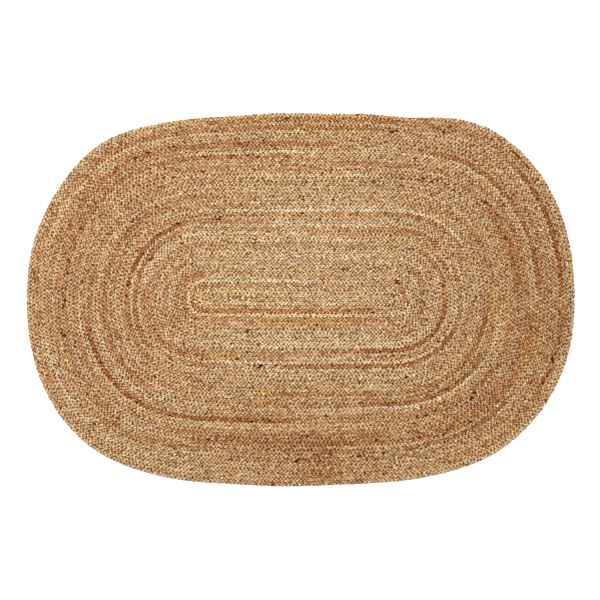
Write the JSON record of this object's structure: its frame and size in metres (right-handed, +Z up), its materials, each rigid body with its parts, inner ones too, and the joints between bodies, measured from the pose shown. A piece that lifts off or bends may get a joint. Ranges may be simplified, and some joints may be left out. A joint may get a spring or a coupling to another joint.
{
  "type": "braided rug",
  "caption": "Flat oval jute rug: a long braid coiled round a short straight core and laced flat, for laying on a floor.",
  "frame": {"origin": "middle of the rug's box seen from above, on the underside that lies on the floor", "axes": "+X along the rug's length, +Y across it, +Z up out of its upper side"},
  "size_m": [1.797, 1.222, 0.008],
  "materials": {
    "jute_braid": "undyed golden-brown jute yarn, dry and matt, with darker and reddish strands here and there"
  },
  "bodies": {
    "root": {"braided_rug": "jute_braid"}
  },
  "joints": []
}
